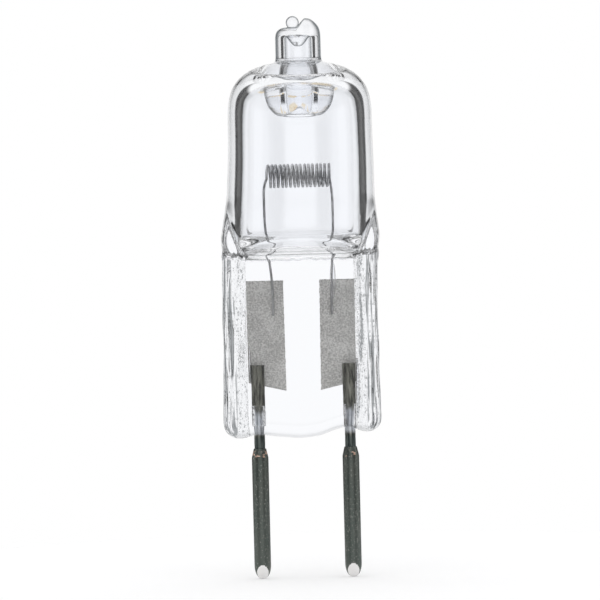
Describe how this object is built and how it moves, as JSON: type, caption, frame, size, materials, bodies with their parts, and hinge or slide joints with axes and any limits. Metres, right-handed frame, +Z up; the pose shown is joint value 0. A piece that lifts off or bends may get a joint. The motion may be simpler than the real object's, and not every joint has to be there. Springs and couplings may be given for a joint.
{
  "type": "halogen capsule bulb",
  "caption": "Clear quartz capsule bulb with a coiled filament across it, a flat press seal with metal foils, and straight pins that plug into a lampholder.",
  "frame": {"origin": "midway between the two pins, in the plane where they reach their full diameter", "axes": "+Z up the lamp's axis, away from the pins; +X through the two pins; the picture looks along +Y"},
  "size_m": [0.0112, 0.0104, 0.0393],
  "materials": {
    "quartz_glass": "clear, fire polished, with rough pressed edges on the seal",
    "tungsten_wire": "drawn wire, grey",
    "molybdenum_foil": "thin rolled ribbon, grainy grey",
    "molybdenum_wire": "drawn wire, dull grey",
    "nickel_pin": "turned and plated, grey, slightly stained"
  },
  "bodies": {
    "root": {"glass_envelope": "quartz_glass", "filament": "tungsten_wire", "foil_left": "molybdenum_foil", "foil_right": "molybdenum_foil", "lead_left": "molybdenum_wire", "lead_right": "molybdenum_wire", "pin_sleeve_left": "nickel_pin", "pin_sleeve_right": "nickel_pin"}
  },
  "joints": []
}
